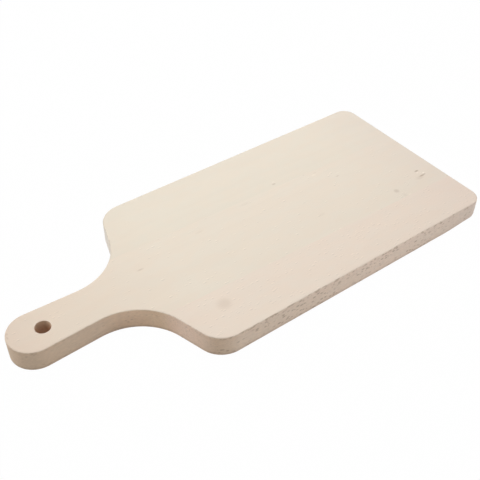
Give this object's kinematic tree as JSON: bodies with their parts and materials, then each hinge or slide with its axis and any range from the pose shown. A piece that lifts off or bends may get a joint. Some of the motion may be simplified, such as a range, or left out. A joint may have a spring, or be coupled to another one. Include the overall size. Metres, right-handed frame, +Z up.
{
  "type": "paddle serving board",
  "caption": "Flat beech serving board with a round-ended handle, hollow-curved shoulders and a hanging hole, glued up edge to edge from staves of pale solid wood.",
  "frame": {"origin": "on the underside, halfway along the length and halfway across the width", "axes": "+X along the board from the handle to the far end, +Y to the left for someone who holds the handle, +Z up out of the serving face"},
  "size_m": [0.4, 0.176, 0.0195],
  "materials": {
    "beech_left": "bare beech, sanded smooth, the palest stave, matt",
    "beech_handle": "bare beech, sanded smooth, cream with fine ray flecks, matt",
    "beech_right": "bare beech, sanded smooth, slightly pinker, with short ray flecks, matt"
  },
  "bodies": {
    "root": {"left_stave": "beech_left", "handle_stave": "beech_handle", "right_stave": "beech_right"}
  },
  "joints": []
}
